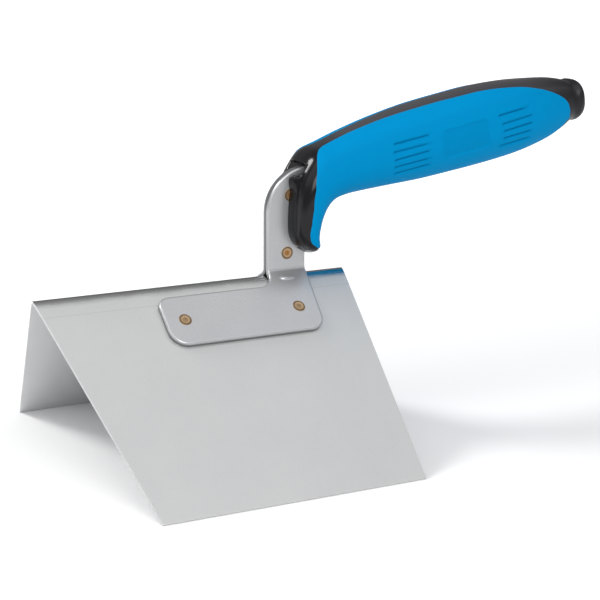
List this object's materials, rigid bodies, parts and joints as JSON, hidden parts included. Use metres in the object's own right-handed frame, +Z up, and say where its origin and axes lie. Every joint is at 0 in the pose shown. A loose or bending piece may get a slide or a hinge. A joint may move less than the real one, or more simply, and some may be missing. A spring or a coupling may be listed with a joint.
{
  "type": "outside corner trowel",
  "caption": "Outside corner trowel: folded steel blade whose two wings lap an external plaster corner, twin spot-welded brackets and a cranked two-tone soft-grip handle.",
  "frame": {"origin": "centre of the bounding box in X and Y, on the plane of the blade's two free edges, which the tool stands on", "axes": "+X runs along the blade's fold from the toe towards the butt of the handle, +Y across the fold to the right wing, +Z up from the free edges through the fold to the handle"},
  "size_m": [0.2366, 0.146, 0.1337],
  "materials": {
    "blade_steel": "satin ground sheet, polished along the fold",
    "bracket_steel": "bright zinc-plated pressing with a dull satin face",
    "weld_heat_tint": "straw to brown heat tint round a dimple",
    "core_plastic": "black moulded, satin back and glossy collar",
    "grip_rubber": "bright blue matt soft-touch overmould"
  },
  "bodies": {
    "root": {"blade": "blade_steel", "bracket_left": "bracket_steel", "bracket_right": "bracket_steel", "foot_weld_left_front": "weld_heat_tint", "foot_weld_left_rear": "weld_heat_tint", "foot_weld_right_front": "weld_heat_tint", "foot_weld_right_rear": "weld_heat_tint", "stem_weld_lower": "weld_heat_tint", "stem_weld_upper": "weld_heat_tint", "handle_core": "core_plastic", "soft_grip": "grip_rubber"}
  },
  "joints": []
}
